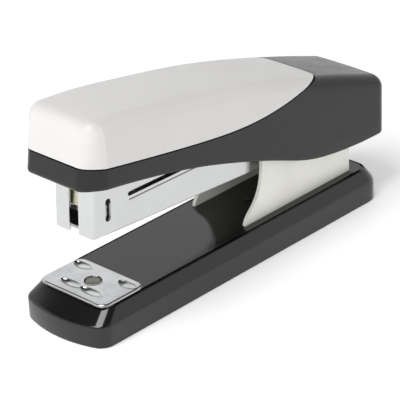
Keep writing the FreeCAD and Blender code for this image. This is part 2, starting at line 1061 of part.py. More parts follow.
cut(
    handle_channel,
    "XZ_Plane",
    polygon(
        [
            (channel_front - 5, under_top(channel_front - 5)),
            (20, under_top(20)),
            (20, -20),
            (channel_front - 5, -20),
        ]
    ),
    of_sheet("channel_width - 2 * channel_sheet"),
)
cut(
    handle_channel,
    "XZ_Plane",
    circle(0, 0, size("pin_radius") + size("pin_clearance")),
    of_sheet("2 * channel_width"),
)

# screw bosses hang from the inlay and stand on the channel
screw_places = [in_magazine(x, 0)[0] for x in (18.2 - nose_reach, -20.0)]
boss_radius = 3.0
screw_radius = 1.2


def channel_top_at(x):
    """The height of the channel's top face over a place along the object."""
    along = (x - pin_x) / math.cos(tilt)
    along -= (under_top(along) + channel_sheet) * math.tan(tilt)
    return in_magazine(along, under_top(along) + channel_sheet)[1]


def upright_rod(name, x, low, high, radius):
    rod = doc.addObject("Part::Cylinder", name)
    rod.Radius = radius
    rod.Height = high - low
    rod.Placement = Placement(Vector(x, 0, low), Rotation())
    return rod


def boolean(kind, name, base, tool):
    result = doc.addObject("Part::" + kind, name)
    result.Base = base
    result.Tool = tool
    result.Label = name
    return result


inlay_block = cover_block("inlay_block")
inlay_room = inlay_region("inlay_room", size("inlay_gap"))
cover_inlay = boolean("Common", "inlay_skin", inlay_block, inlay_room)
boss_block = cover_block("boss_block", hollow=False)
for number, x in enumerate(screw_places):
    low = channel_top_at(x) + 0.45
    rod = upright_rod(f"boss_rod{number}", x, low, up(90), boss_radius)
    boss = boolean("Common", f"boss{number}", boss_block, rod)
    cover_inlay = boolean("Fuse", f"bossed{number}", cover_inlay, boss)
    bore = upright_rod(f"boss_bore{number}", x, low - 5, low + 5.2, screw_radius + 0.02)
    name = f"bored{number}" if number == 0 else "cover_inlay"
    cover_inlay = boolean("Cut", name, cover_inlay, bore)
shell_block = cover_block("shell_block")
shell_room = inlay_region("shell_room", 0.0)
cover_shell = boolean("Cut", "cover_shell", shell_block, shell_room)
doc.recompute()

screws = []
for number, x in enumerate(screw_places):
    high = channel_top_at(x)
    under = high - channel_sheet - 0.45
    screw = new_body(f"screw{number}", Placement(Vector(x, 0, 0), Rotation()))
    profile = polygon(
        [
            (0, under - 1.0),
            (2.0, under - 1.0),
            (2.4, under - 0.5),
            (2.4, under),
            (screw_radius, under),
            (screw_radius, high + 4.4),
            (0, high + 5.0),
        ]
    )
    turn = screw.newObject("PartDesign::Revolution", "screw_turn")
    turn.Profile = sketch_on(screw, "XZ_Plane", profile)
    turn.ReferenceAxis = (plane_of(screw, "Z_Axis"), [""])
    turn.Angle = 360
    screws.append(screw)
cover_screws = doc.addObject("Part::Compound", "cover_screws")
cover_screws.Links = screws
cover_screws.Label = "cover_screws"
doc.recompute()
screw_bores = []
for x in screw_places:
    along = (x - pin_x) / math.cos(tilt)
    along -= under_top(along) * math.tan(tilt)
    screw_bores += circle(along, 0, screw_radius + 0.25)
cut(handle_channel, "XY_Plane", screw_bores, str(4 * front_high))

# blade, straight down the nose when the handle is pressed home
driver_place = magazine_place.multiply(
    Placement(Vector(), Rotation(Vector(0, 1, 0), math.degrees(press)))
)
blade_home = inner_nose + 0.3
blade_back = blade_home + size("blade_thickness")
blade_bottom = case_bottom + 0.4
blade_high = blade_bottom + 18.4


def under_channel(x):
    """The channel's underside over a place in the blade's own frame."""
    slope = math.tan(press - math.atan(fall))
    start = channel_front * math.cos(press) - under_top(channel_front) * math.sin(press)
    high = under_top(channel_front) * math.cos(press) + channel_front * math.sin(press)
    return high + (x - start) * slope


rivet_heights = (10.4, 14.0)
blade_rivet = 1.0
rivet_bores = [
    hole for z in rivet_heights for hole in circle(0, z, blade_rivet + 0.02)
]
driver_blade = new_body("driver_blade", driver_place)
pad(
    driver_blade,
    "XZ_Plane",
    rectangle(blade_home, blade_back, blade_bottom, blade_high),
    of_sheet("blade_width"),
)
cut(driver_blade, "YZ_Plane", rivet_bores, of_sheet("4 * overall_length"))

driver_holder = new_body("driver_holder", driver_place)
holder_front = blade_back + 0.02
holder_back = blade_back + 1.4
holder_end = holder_back + 8.0
pad(
    driver_holder,
    "XZ_Plane",
    polygon(
        [
            (holder_front, 8.6),
            (holder_back, 8.6),
            (holder_back, under_channel(holder_back) - 1.6),
            (holder_end, under_channel(holder_end) - 1.6),
            (holder_end, under_channel(holder_end) - 0.05),
            (holder_front, under_channel(holder_front) - 0.05),
        ]
    ),
    of_sheet("staple_width + 0.1"),
)
cut(
    driver_holder,
    "YZ_Plane",
    rivet_bores,
    of_sheet("2 * ( anvil_length + blade_width )"),
    str(blade_home),
)

blade_rivets = []
for number, z in enumerate(rivet_heights):
    rivet = new_body(
        f"blade_rivet{number}",
        driver_place.multiply(Placement(Vector(blade_home, 0, z), Rotation())),
    )
    across_sheets = holder_back - blade_home
    profile = polygon(
        [
            (0, 0),
            (0, blade_rivet),
            (across_sheets + 0.02, blade_rivet),
            (across_sheets + 0.02, 1.7),
            (across_sheets + 0.6, 1.4),
            (across_sheets + 0.6, 0),
        ]
    )
    turn = rivet.newObject("PartDesign::Revolution", "blade_rivet_turn")
    turn.Profile = sketch_on(rivet, "XZ_Plane", profile)
    turn.ReferenceAxis = (plane_of(rivet, "X_Axis"), [""])
    turn.Angle = 360
    blade_rivets.append(rivet)
driver_rivets = doc.addObject("Part::Compound", "driver_rivets")
driver_rivets.Links = blade_rivets
driver_rivets.Label = "driver_rivets"

# leaf spring that lifts the handle off the magazine
handle_spring = new_body("handle_spring", magazine_place)
pad(
    handle_spring,
    "XZ_Plane",
    strip_along(
        [
            (-72.0, under_top(-72.0) - 0.3),
            (-58.0, under_top(-58.0) - 0.5),
            (-45.0, case_top + 3.0),
            (-34.0, case_top + 0.9),
            (-30.0, case_top + 0.32),
            (-27.0, case_top + 0.6),
        ],
        sheet_metal,
    ),
    of_sheet("case_width - 0.8"),
)
doc.recompute()

nodes = [
    base_shell,
    seat_plate,
    base_sole,
    anvil_plate,
    anvil_stem,
    anvil_spring,
    riser_bracket,
    rivet_group,
    hinge_pin,
    lift_spring,
    magazine_case,
    guide_channel,
    staple_rail,
    staple_strip,
    staple_pusher,
    rear_block,
    pusher_rod,
    pusher_spring,
    cover_shell,
    cover_inlay,
    handle_channel,
    driver_blade,
    driver_holder,
    driver_rivets,
    cover_screws,
    handle_spring,
]
doc.recompute()
os.makedirs("parts", exist_ok=True)
faults = []
for item in doc.Objects:
    if any(word in str(item.State) for word in ("Invalid", "Error")):
        faults.append(f"{item.Name} {item.State}")
for node in nodes:
    shape = node.Shape
    if shape.isNull() or not shape.isValid() or not shape.Solids:
        faults.append(f"{node.Label} has no sound shape")
    print(node.Label, len(shape.Solids), round(shape.Volume, 1), shape.BoundBox)
if faults:
    raise ValueError("; ".join(faults))
for node in nodes:
    node.Shape.exportStep(f"parts/{node.Label}.step")
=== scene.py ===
import math

import bpy
import bmesh
import numpy as np
from mathutils import Matrix, Vector


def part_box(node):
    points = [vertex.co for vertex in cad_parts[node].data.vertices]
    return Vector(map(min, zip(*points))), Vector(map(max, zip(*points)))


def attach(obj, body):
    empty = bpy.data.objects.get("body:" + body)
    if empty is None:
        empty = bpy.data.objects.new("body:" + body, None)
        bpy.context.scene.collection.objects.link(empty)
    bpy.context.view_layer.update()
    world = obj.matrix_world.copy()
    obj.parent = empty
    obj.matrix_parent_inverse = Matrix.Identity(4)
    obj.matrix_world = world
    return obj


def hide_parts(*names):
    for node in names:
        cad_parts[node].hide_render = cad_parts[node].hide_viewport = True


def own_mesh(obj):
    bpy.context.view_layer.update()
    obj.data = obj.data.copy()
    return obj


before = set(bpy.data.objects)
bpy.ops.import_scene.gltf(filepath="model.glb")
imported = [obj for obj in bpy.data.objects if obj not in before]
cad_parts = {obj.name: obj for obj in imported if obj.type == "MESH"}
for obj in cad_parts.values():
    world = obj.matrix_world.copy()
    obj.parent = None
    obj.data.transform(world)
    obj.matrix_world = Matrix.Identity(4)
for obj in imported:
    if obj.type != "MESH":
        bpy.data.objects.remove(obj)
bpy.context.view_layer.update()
mm = 0.001


# shader maths: a socket that can be added, multiplied and so on
class Value:
    def __init__(self, net, socket):
        self.net = net
        self.socket = socket

    def maths(self, operation, first, second):
        return self.net.node("ShaderNodeMath", {"operation": operation}, {0: first, 1: second})

    def away(self):
        return self.maths("ABSOLUTE", self, 0)

    def __add__(self, other):
        return self.maths("ADD", self, other)

    def __radd__(self, other):
        return self.maths("ADD", other, self)

    def __sub__(self, other):
        return self.maths("SUBTRACT", self, other)

    def __rsub__(self, other):
        return self.maths("SUBTRACT", other, self)

    def __mul__(self, other):
        return self.maths("MULTIPLY", self, other)

    def __rmul__(self, other):
        return self.maths("MULTIPLY", other, self)


class Net:
    # the nodes of one material
    def __init__(self, name):
        self.material = bpy.data.materials.new(name)
        self.material.use_nodes = True
        self.tree = self.material.node_tree
        self.tree.nodes.clear()

    def node(self, kind, settings=None, values=None, out=0):
        # settings come first, then the values or links of the sockets
        made = self.tree.nodes.new(kind)
        for name, value in (settings or {}).items():
            setattr(made, name, value)
        for name, value in (values or {}).items():
            socket = made.inputs[name]
            if isinstance(value, Value):
                self.tree.links.new(value.socket, socket)
            elif socket.type == "RGBA" and len(value) == 3:
                socket.default_value = (*value, 1.0)
            else:
                socket.default_value = value
        return Value(self, made.outputs[out])

    def place(self, scale=(1, 1, 1), turn=(0, 0, 0)):
        coords = self.node("ShaderNodeTexCoord", out="Object")
        return self.node("ShaderNodeMapping", values={"Vector": coords, "Scale": scale, "Rotation": turn})

    def noise(self, scale, detail=4.0, rough=0.5, where=None):
        values = {"Scale": scale, "Detail": detail, "Roughness": rough}
        values["Vector"] = where or self.place()
        return self.node("ShaderNodeTexNoise", values=values)

    def spread(self, value, low, high, fromLow, fromHigh):
        values = {"Value": value, "From Min": fromLow, "From Max": fromHigh, "To Min": low, "To Max": high}
        return self.node("ShaderNodeMapRange", values=values)

    def mix(self, amount, first, second):
        return self.node("ShaderNodeMix", {"data_type": "RGBA"}, {0: amount, 6: first, 7: second}, out=2)

    def bump(self, height, strength, distance):
        values = {"Height": height, "Strength": strength, "Distance": distance}
        return self.node("ShaderNodeBump", values=values)

    def finish(self, values):
        shader = self.node("ShaderNodeBsdfPrincipled", values=values, out="BSDF")
        output = self.tree.nodes.new("ShaderNodeOutputMaterial")
        self.tree.links.new(shader.socket, output.inputs["Surface"])
        return self.material


def plastic(name, look):
    # moulded plastic: clouded colour, smears of gloss, fine grain, faint rubbed specks
    net = Net(name)
    cloud = net.noise(look["cloud"], 3)
    smear = net.noise(140, 5, 0.62, net.place(scale=(0.35, 1, 1)))
    grain = net.noise(look["grainSize"], 2, 0.6)
    specks = net.spread(net.noise(760, 2), 0, look["specks"], 0.66, 0.75)
    tone = net.mix(net.spread(cloud, 0, 1, 0.35, 0.65), look["colour"], look["second"])
    tone = net.mix(specks, tone, look["worn"])
    rough = net.spread(smear, look["rough"] * 0.82, look["rough"] * 1.22, 0.3, 0.7)
    return net.finish({
        "Base Color": tone,
        "Roughness": rough + specks * 0.2,
        "Specular IOR Level": look["shine"],
        "Normal": net.bump(grain, look["grain"], 0.0001),
    })


def creases(net, line):
    # a pressed line and a bead over it along the case's sides, with painted shade darkening the pressed line
    # and a band along the lower edge
    coords = net.node("ShaderNodeTexCoord", out="Object")
    x, y, z = (net.node("ShaderNodeSeparateXYZ", values={0: coords}, out=axis) * 1000 for axis in "XYZ")
    over = z - (line["z"] + (x - line["x"]) * line["slope"])
    reached = net.spread(x, 0, 1, line["x"] - 0.3, line["x"] + 0.1)
    onSide = net.spread(y.away(), 0, 1, 8.4, 8.6)
    # painted shade: the pressed line is darkened where shade falls in it
    crease = net.spread(over.away(), 1, 0, 0.12, 0.36) * reached * onSide
    offBead = over - line["bead"]
    bead = net.spread(offBead.away(), 1, 0, 0.1, 0.85) * reached * onSide
    # painted shade: a dark band along the case's lower edge
    low = z - (line["edgeZ"] + (x - line["edgeX"]) * line["edgeSlope"])
    behindNose = net.spread(x, 0, 1, line["edgeX"] + 3, line["edgeX"] + 9)
    edge = net.spread(low, 1, 0, 0.12, 0.34) * behindNose * onSide
    # first the mask of painted shade, then the relief of the bead and the pressed line
    return (crease * 0.85).maths("MAXIMUM", crease * 0.85, edge * 0.8), bead - crease


def metal(name, look):
    # plated or rolled sheet: drawn streaks, soft stains and scattered fine scratches
    net = Net(name)
    streaks = net.noise(1.0, 6, 0.7, net.place(scale=look["streaks"]))
    cloud = net.noise(look["cloud"], 4, 0.6)
    scratches = net.noise(1.0, 3, 0.8, net.place((220, 2600, 2600), (0.3, 0.2, 0.5)))
    marks = net.spread(scratches, 0, 1, 0.70, 0.78)
    tone = net.mix(net.spread(cloud, 0, look["stain"], 0.4, 0.75), look["colour"], look["second"])
    tone = net.mix(marks * look["scratch"], tone, look["second"])
    rough = net.spread(streaks, look["rough"] * 0.75, look["rough"] * 1.35, 0.3, 0.7)
    relief, depth = streaks, 0.00003
    if look.get("soot"):
        # painted shade: the colour is darkened towards near black where the mark of painted shade stands
        soot = net.node("ShaderNodeAttribute", {"attribute_name": "soot"}, out="Fac")
        tone = net.mix(soot, tone, (0.02, 0.02, 0.02))
    if look.get("crease"):
        # painted shade from the pressed line and the lower edge, mixed towards near black
        creaseShade, relief = creases(net, look["crease"])
        tone = net.mix(creaseShade, tone, (0.015, 0.015, 0.015))
        relief, depth = relief + streaks * 0.03, 0.0004
    return net.finish({
        "Base Color": tone,
        "Metallic": 1.0,
        "Roughness": rough + marks * 0.12,
        "Normal": net.bump(relief, look["relief"], depth),
    })


plasticLooks = {
    "coverWhite": {
        "colour": (0.71, 0.70, 0.692), "second": (0.69, 0.681, 0.668), "worn": (0.68, 0.67, 0.65),
        "rough": 0.36, "shine": 0.5, "grain": 0.1, "grainSize": 5200, "cloud": 38, "specks": 0.25,
    },
    "coverCharcoal": {
        "colour": (0.0085, 0.0075, 0.0082), "second": (0.0105, 0.0092, 0.0096),
        "worn": (0.04, 0.038, 0.037), "rough": 0.25, "shine": 0.4, "grain": 0.04, "grainSize": 4200,
        "cloud": 45, "specks": 0.35,
    },
    "baseBlack": {
        "colour": (0.0055, 0.005, 0.005), "second": (0.008, 0.007, 0.0068),
        "worn": (0.03, 0.029, 0.028), "rough": 0.1, "shine": 0.58, "grain": 0.03, "grainSize": 2600,
        "cloud": 60, "specks": 0.2,
    },
    "bracketIvory": {
        "colour": (0.86, 0.86, 0.80), "second": (0.80, 0.80, 0.73), "worn": (0.6, 0.59, 0.52),
        "rough": 0.36, "shine": 0.5, "grain": 0.22, "grainSize": 1500, "cloud": 70, "specks": 0.12,
    },
    "innerBlack": {
        "colour": (0.03, 0.03, 0.031), "second": (0.036, 0.036, 0.036), "worn": (0.07, 0.07, 0.07),
        "rough": 0.45, "shine": 0.5, "grain": 0.2, "grainSize": 2600, "cloud": 80, "specks": 0.3,
    },
    "soleRubber": {
        "colour": (0.025, 0.025, 0.026), "second": (0.035, 0.035, 0.034),
        "worn": (0.07, 0.068, 0.064), "rough": 0.75, "shine": 0.35, "grain": 0.5, "grainSize": 1600,
        "cloud": 50, "specks": 0.6,
    },
}
metalLooks = {
    "caseChrome": {
        "crease": {
            "x": -46.5, "z": 41.4, "slope": -0.018, "bead": 1.0,
            "edgeX": -63.0, "edgeZ": 33.4, "edgeSlope": -0.0616,
        },
        "colour": (0.62, 0.625, 0.63), "second": (0.5, 0.505, 0.51), "rough": 0.17,
        "streaks": (30, 900, 900), "cloud": 95, "stain": 0.25, "relief": 0.15, "scratch": 0.3,
    },
    "anvilNickel": {
        # painted shade in the pockets, in the pivot ring and under the rolled edge
        "soot": True, "colour": (0.74, 0.75, 0.76), "second": (0.45, 0.45, 0.46), "rough": 0.17,
        "streaks": (500, 160, 300), "cloud": 130, "stain": 0.55, "relief": 0.5, "scratch": 0.5,
    },
    "rolledSteel": {
        "colour": (0.56, 0.56, 0.56), "second": (0.42, 0.42, 0.43), "rough": 0.3,
        "streaks": (60, 1400, 1400), "cloud": 95, "stain": 0.4, "relief": 0.3, "scratch": 0.5,
    },
    "stemSteel": {
        "colour": (0.33, 0.33, 0.28), "second": (0.2, 0.2, 0.17), "rough": 0.4,
        "streaks": (700, 700, 700), "cloud": 500, "stain": 0.8, "relief": 0.4, "scratch": 0.4,
    },
    "zincYellow": {
        "colour": (0.62, 0.6, 0.46), "second": (0.42, 0.4, 0.31), "rough": 0.36,
        "streaks": (700, 700, 700), "cloud": 600, "stain": 0.8, "relief": 0.4, "scratch": 0.4,
    },
    "springSteel": {
        "colour": (0.45, 0.45, 0.46), "second": (0.34, 0.33, 0.33), "rough": 0.28,
        "streaks": (60, 1200, 1200), "cloud": 120, "stain": 0.4, "relief": 0.2, "scratch": 0.3,
    },
    "stapleWire": {
        "colour": (0.8, 0.8, 0.81), "second": (0.62, 0.62, 0.63), "rough": 0.22,
        "streaks": (900, 60, 60), "cloud": 200, "stain": 0.4, "relief": 0.2, "scratch": 0.3,
    },
}
finishes = {name: plastic(name, look) for name, look in plasticLooks.items()}
finishes.update({name: metal(name, look) for name, look in metalLooks.items()})
print("finishes made:", len(finishes))


# meshes
def gridFaces(rows, columns, closeColumns=False):
    # quads between neighbouring grid points, wrapped round where the rows are closed
    r = np.arange(rows - 1)
    c = np.arange(columns if closeColumns else columns - 1)
    rr, cc = np.meshgrid(r, c, indexing="ij")
    r2 = rr + 1
    c2 = (cc + 1) % columns
    corners = [rr * columns + cc, rr * columns + c2, r2 * columns + c2, r2 * columns + cc]
    return np.stack(corners, -1).reshape(-1, 4)


def joined(grids):
    # several (points, faces) pairs as one
    points, faces, count = [], [], 0
    for somePoints, someFaces in grids:
        points.append(somePoints.reshape(-1, 3))
        faces.append(np.asarray(someFaces) + count)
        count += len(points[-1])
    return np.concatenate(points), np.concatenate(faces)


def settle(piece, finish, body, replaced, bevel=0.0, smoothAngle=35.0):
    mesh = piece.data
    mesh.shade_smooth()
    mesh.set_sharp_from_angle(angle=math.radians(smoothAngle))
    mesh.materials.clear()
    mesh.materials.append(finishes[finish])
    if bevel:
        edge = piece.modifiers.new("softEdges", "BEVEL")
        edge.width, edge.segments = bevel * mm, 3
        edge.limit_method, edge.angle_limit = "ANGLE", math.radians(smoothAngle)
        edge.harden_normals = True
    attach(piece, body)
    if replaced:
        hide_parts(*replaced)
    return piece


def newPiece(name, points, faces, finish, body, slot, replaced=(), bevel=0.0, smoothAngle=35.0):
    # a mesh from millimetre points: doubles merged, slivers dissolved, faces turned outwards
    mesh = bpy.data.meshes.new(name)
    mesh.from_pydata((np.asarray(points).reshape(-1, 3) * mm).tolist(), [], np.asarray(faces).tolist())
    piece = bpy.data.objects.new(name, mesh)
    bpy.context.collection.objects.link(piece)
    work = bmesh.new()
    work.from_mesh(mesh)
    bmesh.ops.remove_doubles(work, verts=work.verts, dist=2e-6)
    bmesh.ops.dissolve_degenerate(work, edges=work.edges, dist=1e-6)
    bmesh.ops.recalc_face_normals(work, faces=work.faces)
    work.to_mesh(mesh)
    work.free()
    return settle(piece, finish, body, replaced, bevel, smoothAngle)


def smoothThrough(knots):
    # a natural cubic spline: its second slopes come from one linear solve
    x, y = (np.array(column, float) for column in zip(*sorted(knots)))
    n, h = len(x), np.diff(x)
    left, right = np.eye(n), np.zeros(n)
    for i in range(1, n - 1):
        left[i, i - 1:i + 2] = h[i - 1], 2 * (h[i - 1] + h[i]), h[i]
        right[i] = 6 * ((y[i + 1] - y[i]) / h[i] - (y[i] - y[i - 1]) / h[i - 1])
    m = np.linalg.solve(left, right)

    def at(value):
        value = np.asarray(value, float)
        held = np.clip(value, x[0], x[-1])
        i = np.clip(np.searchsorted(x, held) - 1, 0, n - 2)
        a, b = x[i + 1] - held, held - x[i]
        inside = (m[i] * a ** 3 + m[i + 1] * b ** 3) / (6 * h[i])
        inside = inside + (y[i] / h[i] - m[i] * h[i] / 6) * a + (y[i + 1] / h[i] - m[i + 1] * h[i] / 6) * b
        first = (y[1] - y[0]) / h[0] - h[0] * m[1] / 6
        last = (y[-1] - y[-2]) / h[-1] + h[-1] * m[-2] / 6
        return inside + (value - held) * np.where(value < x[0], first, last)

    return at


# cover: one surface, parted into a charcoal shell and a pale inlay
shellLow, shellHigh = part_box("cover_shell")
cover = {
    "front": shellLow.x / mm + 0.25,
    "rear": shellHigh.x / mm,
    "half": shellHigh.y / mm,
    "wall": 1.9,
    "noseCorner": 6.0,
    "rearCorner": 4.4,
    "frontLean": 0.209,
    "rearLean": -0.057,
    "crown": 0.3,
    "spineFront": 24.0,  # the middle line stops this far short of each end
    "spineRear": 12.0,
    "gap": 0.5,
    "edge": 0.12,
    "lipNose": 1.5,
    "lipSide": 0.75,
    "tip": 111.4,  # along the cover: where the inlay's lower edge meets its rear edge
    "tipReach": 1.75,  # how far the rear edge stands behind that point
    "tipFlat": 0.68,  # the share of the rear edge that is straight
    # heights over the length: (along, height)
    "top": [
        (3.8, 76.4), (18.9, 75.35), (45.5, 71.25), (73.4, 65.75), (102.8, 57.85), (123.3, 51.45),
        (145.6, 43.9),
    ],
    "bottom": [
        (0, 54.1), (8, 53.1), (27, 50.1), (50, 45.1), (68.5, 39.6), (88, 32.75), (103.5, 27.1),
        (114, 24.9), (125, 23.6), (136, 22.95), (145.6, 22.95),
    ],
    "divide": [
        (0, 61.9), (14, 59.35), (32, 56.3), (50, 53.5), (64, 51.75), (77, 51.05), (88, 51.6),
        (98, 53.15), (104.5, 54.6), (110.5, 55.2),
    ],
    "radius": [(0, 5.0), (40, 4.8), (80, 4.3), (146, 3.9)],
}
topAt, bottomAt, divideAt, radiusAt = (smoothThrough(cover[k]) for k in ("top", "bottom", "divide", "radius"))


def coverPoints(o, n, level, inset=0.0):
    # o and n are places and outward normals of the plan outline, level runs across:
    # 0 to 1 from the middle line to the rounded edge, 1 to 2 round it, 2 to 3 down to the bottom edge
    front, rear, half = cover["front"], cover["rear"], cover["half"]
    forward, backward = np.clip(-n[..., 0], 0, 1) ** 2, np.clip(n[..., 0], 0, 1) ** 2
    lean = cover["frontLean"] * forward + cover["rearLean"] * backward
    radius = np.maximum(radiusAt(o[..., 0] - front) - inset, 0.35)
    turn = np.clip(level - 1, 0, 1) * (np.pi / 2 - np.arctan(lean))
    spine = np.clip(o[..., 0], front + cover["spineFront"], rear - cover["spineRear"])
    edge = o - n * (inset + radius)[..., None]
    over = np.clip(level, 0, 1)
    x = spine + (edge[..., 0] - spine) * over + n[..., 0] * radius * np.sin(turn)
    y = edge[..., 1] * over + n[..., 1] * radius * np.sin(turn)
    wallTop = topAt(x - front) - inset - cover["crown"] * (y / half) ** 2 - radius * (1 - np.cos(turn))
    down = np.clip(level - 2, 0, 1)
    z, across = wallTop, x
    for _ in range(4):
        z = wallTop + (bottomAt(across - front) - wallTop) * down
        across = x + n[..., 0] * lean * (wallTop - z)
    return np.stack([across, y, z], -1)


def outlinePart(pieces):
    # straight runs and quarter turns of the plan outline, as places and normals
    places, normals = [], []
    for kind, *numbers in pieces:
        if kind == "run":
            start, end, normal, count = numbers
            t = np.linspace(0, 1, count, endpoint=False)[:, None]
            places.append(np.array(start) * (1 - t) + np.array(end) * t)
            normals.append(np.tile(normal, (count, 1)).astype(float))
        else:
            centre, radius, first, last, count = numbers
            t = np.radians(np.linspace(first, last, count, endpoint=False))
            normals.append(np.stack([np.cos(t), np.sin(t)], -1))
            places.append(np.array(centre) + radius * normals[-1])
    return np.concatenate(places), np.concatenate(normals)


def nearTip(start, end, count, power):
    # places along a side that crowd towards the tip
    t = np.linspace(0, 1, count)
    return start + (end - start) * t ** power


def coverOutlines():
    # half of the outline before the tip and half behind it, each from the far side round to the near side
    front = cover["front"] + cover["frontLean"] * 18.0
    rear, half = cover["rear"], cover["half"]
    tip = cover["front"] + cover["tip"]
    rn, rr = cover["noseCorner"], cover["rearCorner"]
    nose, nosePoints = outlinePart([
        ("turn", (front + rn, half - rn), rn, 90, 180, 14),
        ("run", (front, half - rn), (front, rn - half), (-1, 0), 16),
        ("turn", (front + rn, rn - half), rn, 180, 270, 14),
    ])
    tail, tailPoints = outlinePart([
        ("turn", (rear - rr, half - rr), rr, 90, 0, 12),
        ("run", (rear, half - rr), (rear, rr - half), (1, 0), 16),
        ("turn", (rear - rr, rr - half), rr, 0, -90, 12),
    ])
    ahead = nearTip(tip, front + rn, 90, 1.25)
    behind = nearTip(tip, rear - rr, 30, 1.4)
    halves = []
    for xs, middle, middleNormals in ((ahead, nose, nosePoints), (behind, tail, tailPoints)):
        far = np.stack([xs[:-1], np.full(len(xs) - 1, half)], -1)
        nearSide = np.stack([xs[::-1], np.full(len(xs), -half)], -1)
        places = np.concatenate([far, middle, nearSide])
        farNormals = np.tile((0.0, 1.0), (len(far), 1))
        nearNormals = np.tile((0.0, -1.0), (len(nearSide), 1))
        normals = np.concatenate([farNormals, middleNormals, nearNormals])
        halves.append((places, normals))
    return halves


def divideLevels(places, normals, gap):
    # the level at which each rib of the cover meets the line between shell and inlay
    ones = np.ones(len(places))
    top = coverPoints(places, normals, ones)
    foot = coverPoints(places, normals, ones * 2)
    lip = coverPoints(places, normals, ones * 3)
    level = ones * 2.3
    for _ in range(12):
        here = coverPoints(places, normals, level)
        wanted = divideAt(here[:, 0] - cover["front"]) + gap
        radius = radiusAt(places[:, 0] - cover["front"])
        onWall = 2 + (foot[:, 2] - wanted) / (foot[:, 2] - lip[:, 2])
        drop = np.clip((top[:, 2] - wanted) / radius, 0, 1)
        onEdge = 1 + np.arccos(1 - drop) / (np.pi / 2)
        level = np.where(wanted < foot[:, 2], onWall, onEdge)
    return np.clip(level, 1.0, 2.95)


def ribs(places, normals, levels, shift, tipLevel, inset):
    # one rib a row; near the tip the ribs bend so that the last one is the inlay's rear edge
    share = np.clip(levels / tipLevel, 0, 1)
    flat = cover["tipFlat"]
    bend = np.sqrt(np.clip(1 - (np.clip(share - flat, 0, 1) / (1 - flat)) ** 2, 0, 1))
    o = np.repeat(places[:, None, :], levels.shape[1], 1)
    n = np.repeat(normals[:, None, :], levels.shape[1], 1)
    o = o + np.stack([shift[:, None] * bend, np.zeros_like(bend)], -1)
    return coverPoints(o, n, levels, inset)


def spreadLevels(low, high, count):
    return low[:, None] + (high - low)[:, None] * np.linspace(0, 1, count)[None, :]


def overTop(high, flatCount, turnCount, wallCount):
    # levels from the middle line to each rib's end, with samples kept for the rounded edge
    one, two = np.minimum(high, 1.0), np.minimum(high, 2.0)
    parts = [
        spreadLevels(one * 0, one, flatCount)[:, :-1],
        spreadLevels(one, np.maximum(two, one), turnCount)[:, :-1],
        spreadLevels(np.maximum(two, one), np.maximum(high, two), wallCount),
    ]
    return np.concatenate(parts, 1)


def lipLevels(places, normals, ends):
    # levels from the parting line to the bottom edge, with a quarter turn inwards at the end
    ones = np.ones(len(places))
    tall = coverPoints(places, normals, ones * 2)[:, 2] - coverPoints(places, normals, ones * 3)[:, 2]
    nearNose = np.clip(1 - (places[:, 0] - cover["front"]) / 45, 0, 1)
    radius = cover["lipSide"] + (cover["lipNose"] - cover["lipSide"]) * nearNose
    turn = np.radians(np.linspace(0, 90, 7))
    rolled = 3 - (radius / tall)[:, None] * (1 - np.sin(turn))
    straight = spreadLevels(ends, rolled[:, 0], 14)[:, :-1]
    inset = np.concatenate([straight * 0, radius[:, None] * (1 - np.cos(turn))], 1)
    return np.concatenate([straight, rolled], 1), inset


def wallGrid(outer, inner, closed):
    # outer wall and back along the inner wall; closed joins both rims
    section = np.concatenate([outer, inner[:, ::-1]], 1)
    return section, gridFaces(*section.shape[:2], closeColumns=closed)


def rims(section, row, count):
    # the faces that close a section's end row, between outer and inner wall
    columns = section.shape[1]
    k = np.arange(count)
    first, last = row * columns + k, row * columns + columns - 1 - k
    return np.stack([first, first + 1, last - 1, last], -1)


(aheadPlaces, aheadNormals), (behindPlaces, behindNormals) = coverOutlines()
tipX = cover["front"] + cover["tip"]
wall = cover["wall"]


def coverInlay():
    gap = cover["gap"]
    places = aheadPlaces - np.array([gap, 0]) * (np.abs(aheadNormals[:, 1:]) > 0.99)
    ends = divideLevels(places, aheadNormals, gap)
    before = np.clip((places[:, 0] - (tipX - 22)) / 22, 0, 1) ** 2
    levels = overTop(ends, 14, 8, 9)
    shift = cover["tipReach"] * before
    outer = ribs(places, aheadNormals, levels, shift, ends[:, None], 0.0)
    inner = ribs(places, aheadNormals, levels, shift, ends[:, None], wall)
    section, faces = wallGrid(outer, inner, False)
    count = levels.shape[1] - 1
    ringColumns = section.shape[1]
    edge = np.arange(section.shape[0] - 1)
    low = edge * ringColumns + count
    lowRim = np.stack([low, low + 1, low + 1 + ringColumns, low + ringColumns], -1)
    farRim, nearRim = rims(section, 0, count), rims(section, section.shape[0] - 1, count)
    return section, np.concatenate([faces, lowRim, farRim, nearRim])


